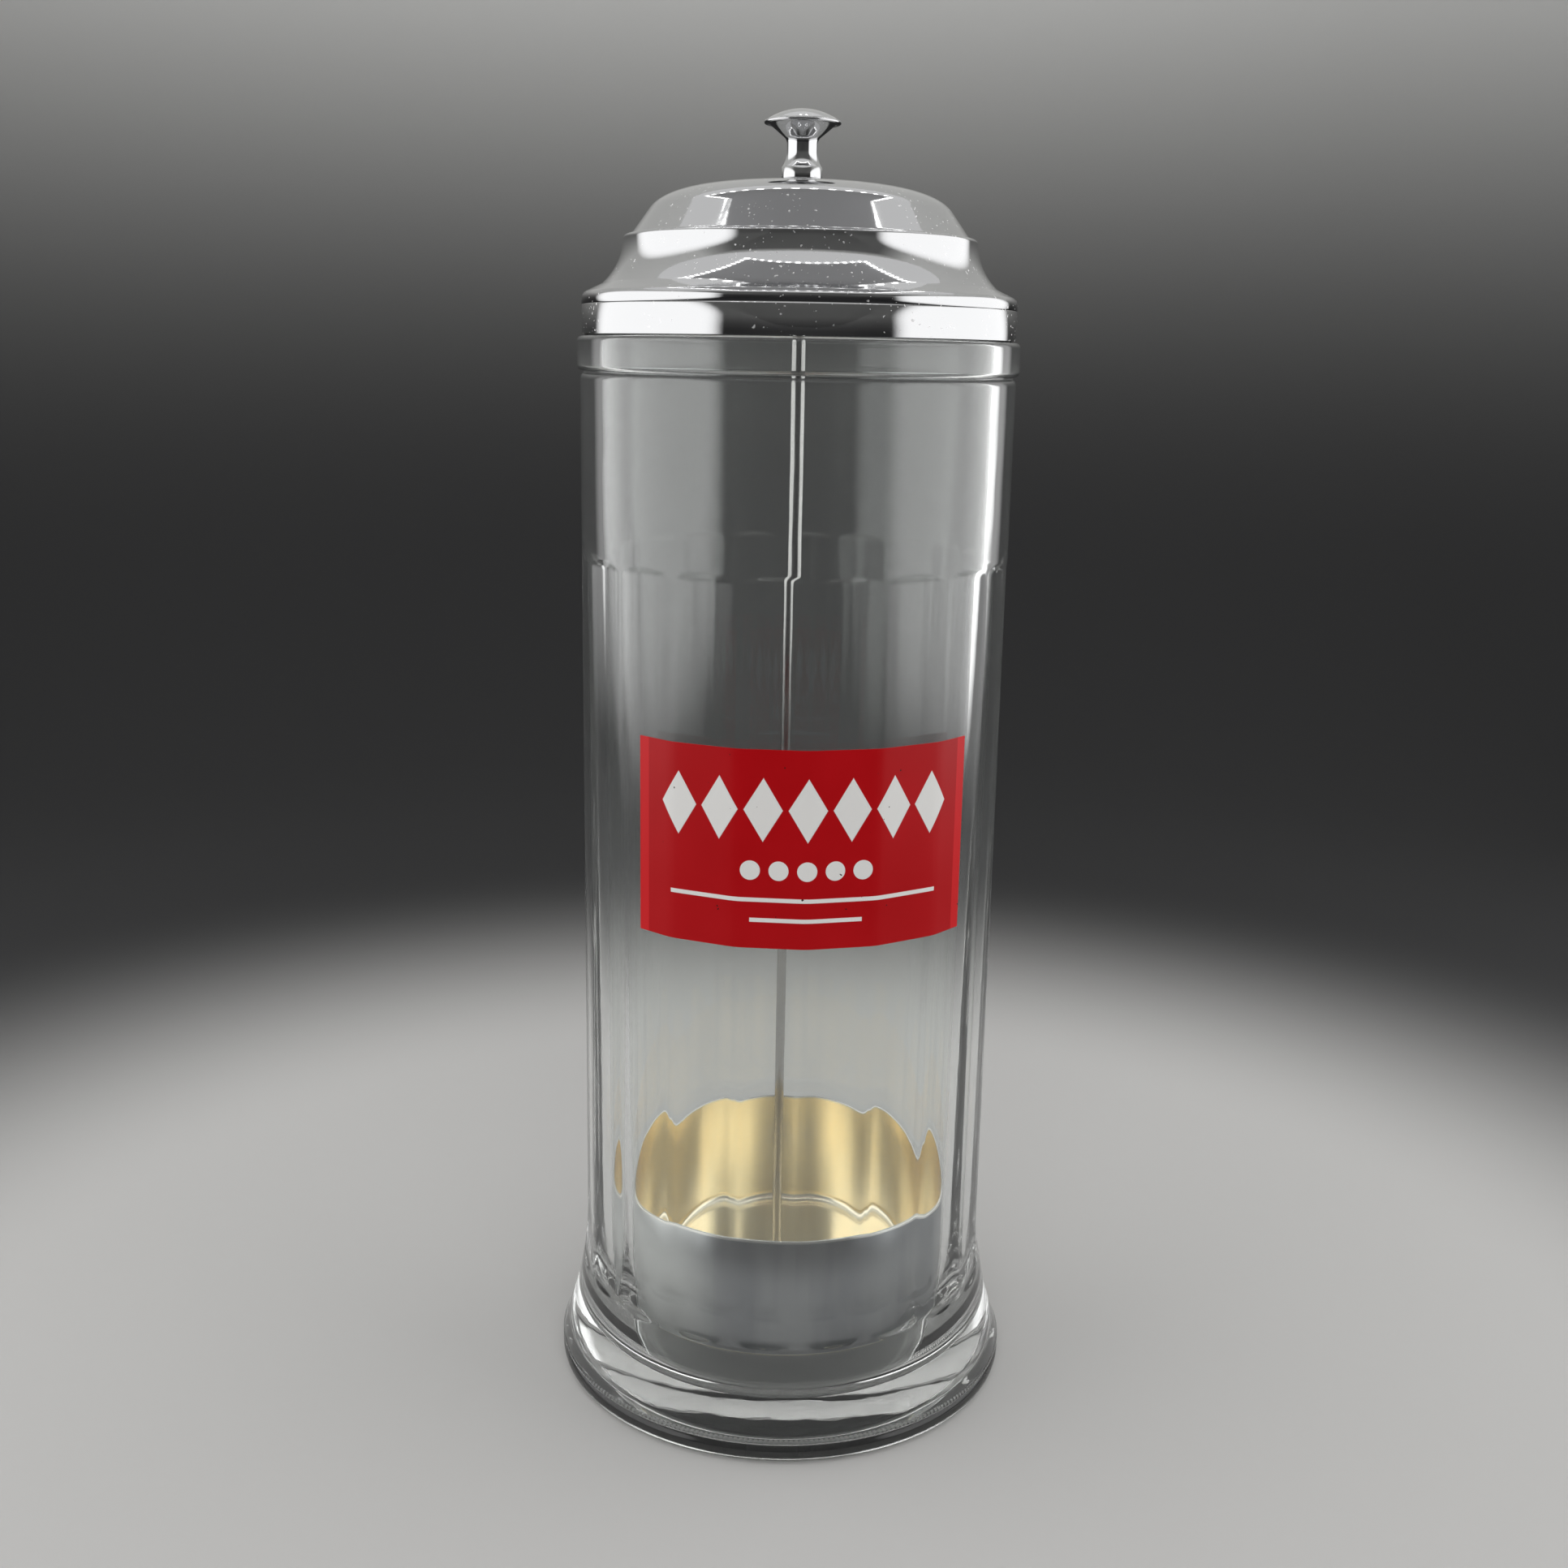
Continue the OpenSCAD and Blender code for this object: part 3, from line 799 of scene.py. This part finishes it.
def cup_steel():
    """Satin steel sheet: dark cool outside with soft upright streaks, warm inside, and a painted
    highlight along the rim.

    Towards -X the outside is painted a lighter shade, as a painted reflection.
    """
    finish = Finish("cup_steel", Metallic=1.0)
    x, y, z = finish.parts()
    radius = (x * x + y * y).math("SQRT")
    inner = radius.below(CUP_R - CUP_WALL / 2, 0.1) * (1.0 - z.below(CUP_Z + CUP_WALL / 2, 0.1))
    # Painted highlight: the top half millimetre of the cup, at its rim, is painted near-white
    rim = 1.0 - z.below(CUP_Z + CUP_H - 0.5, 0.3)
    turn = x.math("ARCTAN2", y)
    drawn = finish.add("ShaderNodeTexNoise", {"noise_dimensions": "2D"}, {
        "Vector": finish.add("ShaderNodeCombineXYZ", {}, {0: turn * 2, 1: z * 0.006}),
        "Scale": 2.0, "Detail": 3.0, "Roughness": 0.5}, "Fac")
    stain = finish.noise(70, 3.0, (1, 1, 0.5))
    bands = ((drawn - 0.35) / 0.3).least(1.0).most(0.0)
    outside = finish.mix(bands, rgb(0.25, 0.26, 0.285), rgb(0.35, 0.36, 0.38))
    # Painted reflection: the outside is painted light grey towards -X, unevenly with the stains
    painted_reflection = x.below(REFLECTION_X, REFLECTION_SOFT).eased() * (stain * 0.6 + 0.7)
    outside = finish.mix(painted_reflection, outside, rgb(0.80, 0.81, 0.81))
    warm = finish.mix(stain, rgb(1.0, 0.87, 0.62), rgb(1.0, 0.96, 0.80))
    sheet = finish.mix(inner, outside, warm)
    # The rim's painted highlight goes over the sheet's colours
    finish.feed("Base Color", finish.mix(rim, sheet, rgb(0.90, 0.89, 0.86)))
    finish.feed("Roughness", 0.27 - inner * 0.13 + drawn * 0.12 + stain * 0.06)
    finish.bump(drawn * 0.4 + stain * 0.6, 0.00005)
    return finish.material


def rod_steel():
    """Bright drawn rod: fine lengthwise lines and a little tarnish."""
    finish = Finish("rod_steel", Metallic=1.0)
    lines = finish.noise(4000, 2.0, (1, 1, 0.004))
    tarnish = finish.noise(60, 3.0)
    finish.feed("Base Color", finish.mix(tarnish, rgb(0.38, 0.375, 0.37), rgb(0.54, 0.53, 0.52)))
    finish.feed("Roughness", 0.12 + lines * 0.14)
    finish.bump(lines, 0.00001)
    return finish.material


def fastener_steel():
    """Plain bright steel of the nuts and washers, with turning rings on their faces."""
    finish = Finish("fastener_steel", Metallic=1.0)
    x, y = finish.parts()[:2]
    rings = ((x * x + y * y).math("SQRT") * 28).wave() * 0.5 + 0.5
    dull = finish.noise(300, 3.0)
    finish.feed("Base Color", finish.mix(dull, rgb(0.50, 0.51, 0.52), rgb(0.70, 0.70, 0.71)))
    finish.feed("Roughness", 0.2 + rings * 0.1 + dull * 0.1)
    finish.bump(rings * 0.3 + dull * 0.5, 0.00003)
    return finish.material


def dark_fibre():
    """Dark pressed-fibre washer with a matted grain."""
    finish = Finish("dark_fibre")
    grain = finish.noise(1800, 4.0)
    finish.feed("Base Color", finish.mix(grain, rgb(0.02, 0.018, 0.016), rgb(0.09, 0.08, 0.07)))
    finish.feed("Roughness", 0.6 + grain * 0.3)
    finish.bump(grain, 0.00008)
    return finish.material


def studio_paper():
    """Matt paper with painted light and shade: a pale painted pool round the object, painted shade
    further out, lighter again up the wall.

    The wall's painted light is the smooth step of its height squared times PAPER_RISE, less in
    front than behind, and it turns white along its rim as a painted band of light.
    """
    finish = Finish("studio_paper", Roughness=0.8)
    x, y, z = finish.parts()
    radius = (x * x + y * y).math("SQRT")
    # Painted pool of light on the floor round the object, fading to painted shade further out
    pale = radius.below((PAPER_PALE + PAPER_DARK) / 2, PAPER_DARK - PAPER_PALE).eased()
    behind = 1.0 - y.below(BACK_MIDDLE_Y, BACK_SOFT)
    # Painted light up the wall, weaker in front
    wall = (z * z * PAPER_RISE).least(0.9).eased() * (behind * (1 - FRONT_SHARE) + FRONT_SHARE)
    # Painted band of light: white along the wall's rim
    wall = wall.most(1.0 - z.below(RIM_MIDDLE_Z, RIM_SOFT))
    shade = finish.mix(wall, rgb(0.016, 0.016, 0.017), rgb(1.0, 1.0, 0.98))
    finish.feed("Base Color", finish.mix(pale * pale, shade, rgb(0.50, 0.495, 0.485)))
    return finish.material


# Pieces in place

def build_dispenser():
    """Makes all twelve pieces: jar and label, then the lid, then what the lifter carries."""
    chrome_lid = bright_chrome("lid_chrome", LID_SHADE)
    fastener = fastener_steel()
    fine, small = even_angles(LARGE_STEPS), even_angles(SMALL_STEPS)
    flats = hexagon_limit(small)
    add_piece("jar_glass", jar_mesh(), clear_glass(), "jar", "jar")
    add_piece("label_panel", label_mesh(), red_print(), "jar", "label_print")
    lid = turned(sheet_profile(lid_outside(), LID_WALL), fine)
    add_piece("chrome_lid", lathe_mesh("chrome_lid", lid, False), chrome_lid,
              "lid", "lid_shell")
    # Name, grid, whether it has poles, material, slot and CAD node of each piece on the lifter
    lifter = (
        ("chrome_knob", turned(knob_profile(), small), True,
         bright_chrome("knob_chrome", KNOB_SHADE), "knob_chrome", "knob"),
        ("steel_rod", turned(rod_profile(), even_angles(ROD_STEPS)), True,
         rod_steel(), "rod_steel", "lift_rod"),
        ("steel_cup", turned(sheet_profile(cup_outside(), CUP_WALL), fine), False,
         cup_steel(), "cup_steel", "straw_cup"),
        ("fibre_ring", turned(washer_profile(FIBRE_W, FIBRE_Z, FIBRE_T), small), False,
         dark_fibre(), "fibre", "knob_washer"),
        ("lid_ring", turned(washer_profile(WASHER_W, LID_WASHER_Z, WASHER_T), small), False,
         fastener, "fastener_steel", "lid_washer"),
        ("lid_hexagon", turned(nut_profile(LID_NUT_Z), small, flats), False,
         fastener, "fastener_steel", "lid_nut"),
        ("cup_ring", turned(washer_profile(WASHER_W, CUP_WASHER_Z, WASHER_T), small), False,
         fastener, "fastener_steel", "cup_washer"),
        ("cup_hexagon", turned(nut_profile(CUP_NUT_Z), small, flats), False,
         fastener, "fastener_steel", "cup_nut"),
        ("acorn_cap", turned(acorn_profile(), small, flats), True,
         fastener, "fastener_steel", "acorn_nut"))
    for name, grid, poles, material, slot, node in lifter:
        add_piece(name, lathe_mesh(name, grid, poles), material, "lifter", node)


# Camera, floor and light

def add_camera():
    """The camera at the photograph's place, turned so that the label faces -Y."""
    ahead = Vector((math.sin(CAMERA_YAW) * math.cos(CAMERA_PITCH),
                    math.cos(CAMERA_YAW) * math.cos(CAMERA_PITCH), -math.sin(CAMERA_PITCH)))
    level = ahead.cross(Vector((0, 0, 1))).normalized()
    upright = level.cross(ahead)
    across = math.cos(CAMERA_ROLL) * level + math.sin(CAMERA_ROLL) * upright
    up = math.cos(CAMERA_ROLL) * upright - math.sin(CAMERA_ROLL) * level
    pose = Matrix((across, up, -ahead)).transposed().to_4x4()
    pose.translation = Vector((0, -CAMERA_AWAY, CAMERA_HIGH)) * MM
    camera = bpy.data.objects.new("camera", bpy.data.cameras.new("camera"))
    bpy.context.scene.collection.objects.link(camera)
    camera.data.sensor_fit = "HORIZONTAL"
    camera.data.sensor_width = SENSOR_MM
    camera.data.lens = SENSOR_MM * FOCAL_PX / IMAGE_W
    camera.data.clip_start = 0.01
    camera.matrix_world = Matrix.Rotation(-LABEL_TURN, 4, "Z") @ pose
    bpy.context.scene.camera = camera


def add_stage(name, xyz, faces, material):
    """A mesh of the studio, not of the object."""
    mesh = bpy.data.meshes.new(name)
    mesh.from_pydata(xyz.tolist(), [], faces)
    mesh.shade_smooth()
    mesh.materials.append(material)
    thing = bpy.data.objects.new(name, mesh)
    bpy.context.scene.collection.objects.link(thing)
    return thing


def add_floor():
    """A round floor whose rim bends up into a wall: an arc turned round Z, then an upright."""
    a = np.radians(np.linspace(0, 90, 16))
    wall_r = FLOOR_FLAT + FLOOR_BEND
    r = np.concatenate([[FLOOR_HOLE], FLOOR_FLAT + FLOOR_BEND * np.sin(a), [wall_r]])
    z = np.concatenate([[0], FLOOR_BEND - FLOOR_BEND * np.cos(a), [WALL_TOP_Z]])
    turn = even_angles(SMALL_STEPS)
    around = np.stack([r[:, None] * np.sin(turn), -r[:, None] * np.cos(turn),
                       np.repeat(z[:, None], len(turn), 1)], -1)
    index = np.arange(around.size // 3).reshape(around.shape[:2])
    closed = np.hstack([index, index[:, :1]])
    faces = quads_between(closed).tolist() + [index[0, ::-1].tolist()]
    add_stage("floor", around.reshape(-1, 3), faces, studio_paper())


def add_light(name, place, target, size, radiance, dots=0):
    """A rectangular light at a place, turned towards a target, and unseen by the camera itself.

    Along its width it rises and falls as often as dots says, as the top half of a sine wave.
    """
    data = bpy.data.lights.new(name, "AREA")
    data.shape = "RECTANGLE"
    data.size, data.size_y = size
    data.energy = radiance * math.pi * size[0] * size[1]
    light = bpy.data.objects.new(name, data)
    light.location = place
    light.rotation_euler = (Vector(target) - Vector(place)).to_track_quat("-Z", "Y").to_euler()
    light.visible_camera = False
    bpy.context.scene.collection.objects.link(light)
    if dots:
        data.use_nodes = True
        graph = Graph(data.node_tree)
        spot = graph.add("ShaderNodeNewGeometry", {}, {}, "Parametric")
        along = graph.add("ShaderNodeSeparateXYZ", {}, {0: spot}, "X")
        strength = (along * (2 * math.pi * dots)).wave().most(0.0)
        graph.tree.links.new(strength.socket, graph.tree.nodes["Emission"].inputs["Strength"])
    return light


def panel_glow():
    """A glow that faces the object, and is clear to rays that come straight through glass.

    It fades outwards with the sum of the fourth powers of its two shares from middle to edge.
    """
    finish = Finish("panel_glow", Base_Color=rgb(0, 0, 0), Roughness=1.0, Specular_IOR_Level=0.0,
                    Emission_Color=rgb(1.0, 1.0, 1.0), Emission_Strength=PANEL_RADIANCE)
    y, z = finish.parts()[1:]
    through, glossy, diffuse = [finish.add("ShaderNodeLightPath", {}, {}, output) for output in
                                ("Is Transmission Ray", "Glossy Depth", "Diffuse Depth")]
    behind = finish.add("ShaderNodeNewGeometry", {}, {}, "Backfacing")
    shown = (1.0 - through * (1.0 - (glossy + diffuse).over(0.5))) * (1.0 - behind)
    reach = 0.0
    for value, (low, high) in ((y, PANEL_Y), (z, PANEL_Z)):
        share = (value - (low + high) / 2) * (2 / (high - low))
        reach = share * share * share * share + reach
    finish.feed("Alpha", ((1.0 - reach) / PANEL_SOFT).least(1.0).most(0.0).eased() * shown)
    return finish.material


def add_panels():
    """Two soft upright panels beside the object, seen only in its reflections."""
    glow = panel_glow()
    low, high = PANEL_Z
    for x, (start, stop) in ((-PANEL_X, PANEL_Y), (PANEL_X, PANEL_Y[::-1])):
        corners = points((x, start, low), (x, stop, low), (x, stop, high), (x, start, high))
        panel = add_stage("side_panel", corners * MM, [[0, 1, 2, 3]], glow)
        panel.visible_camera = False
        panel.visible_shadow = False


def add_card():
    """A grey card above the strips, seen only by the chrome."""
    out, up = STRIP_OUT, CARD_Z
    corners = points((-out, -out, up), (-out, out, up), (out, out, up), (out, -out, up))
    card = Finish("card_paper", Base_Color=rgb(0.60, 0.60, 0.61), Roughness=0.8)
    thing = add_stage("card", corners, [[0, 1, 2, 3]], card.material)
    thing.visible_camera = False
    thing.visible_diffuse = False
    thing.visible_transmission = False
    thing.visible_shadow = False


def light_scene():
    """A frame of thin dotted strips overhead, a soft front fill, and a pale sky."""
    for side in (-1, 1):
        out = side * STRIP_OUT
        along = add_light("strip_along", (out, 0, STRIP_Z), (out, 0, 0), STRIP_SIZE,
                          STRIP_RADIANCE, STRIP_DOTS)
        along.rotation_euler = (0, 0, math.pi / 2)
        add_light("strip_across", (0, out, STRIP_Z), (0, out, 0), STRIP_SIZE,
                  STRIP_RADIANCE, STRIP_DOTS)
    fill = add_light("front_fill", FILL_PLACE, FILL_TARGET, FILL_SIZE, FILL_RADIANCE)
    fill.visible_glossy = False
    fill.visible_transmission = False
    world = bpy.data.worlds.new("studio")
    world.use_nodes = True
    world.node_tree.nodes["Background"].inputs["Color"].default_value = rgb(1.0, 1.0, 1.0)
    world.node_tree.nodes["Background"].inputs["Strength"].default_value = SKY_STRENGTH
    scene = bpy.context.scene
    scene.world = world
    scene.view_settings.view_transform = "Standard"
    scene.cycles.max_bounces = 20
    scene.cycles.transmission_bounces = 16
    scene.cycles.glossy_bounces = 8


build_dispenser()
add_camera()
add_floor()
add_card()
add_panels()
light_scene()
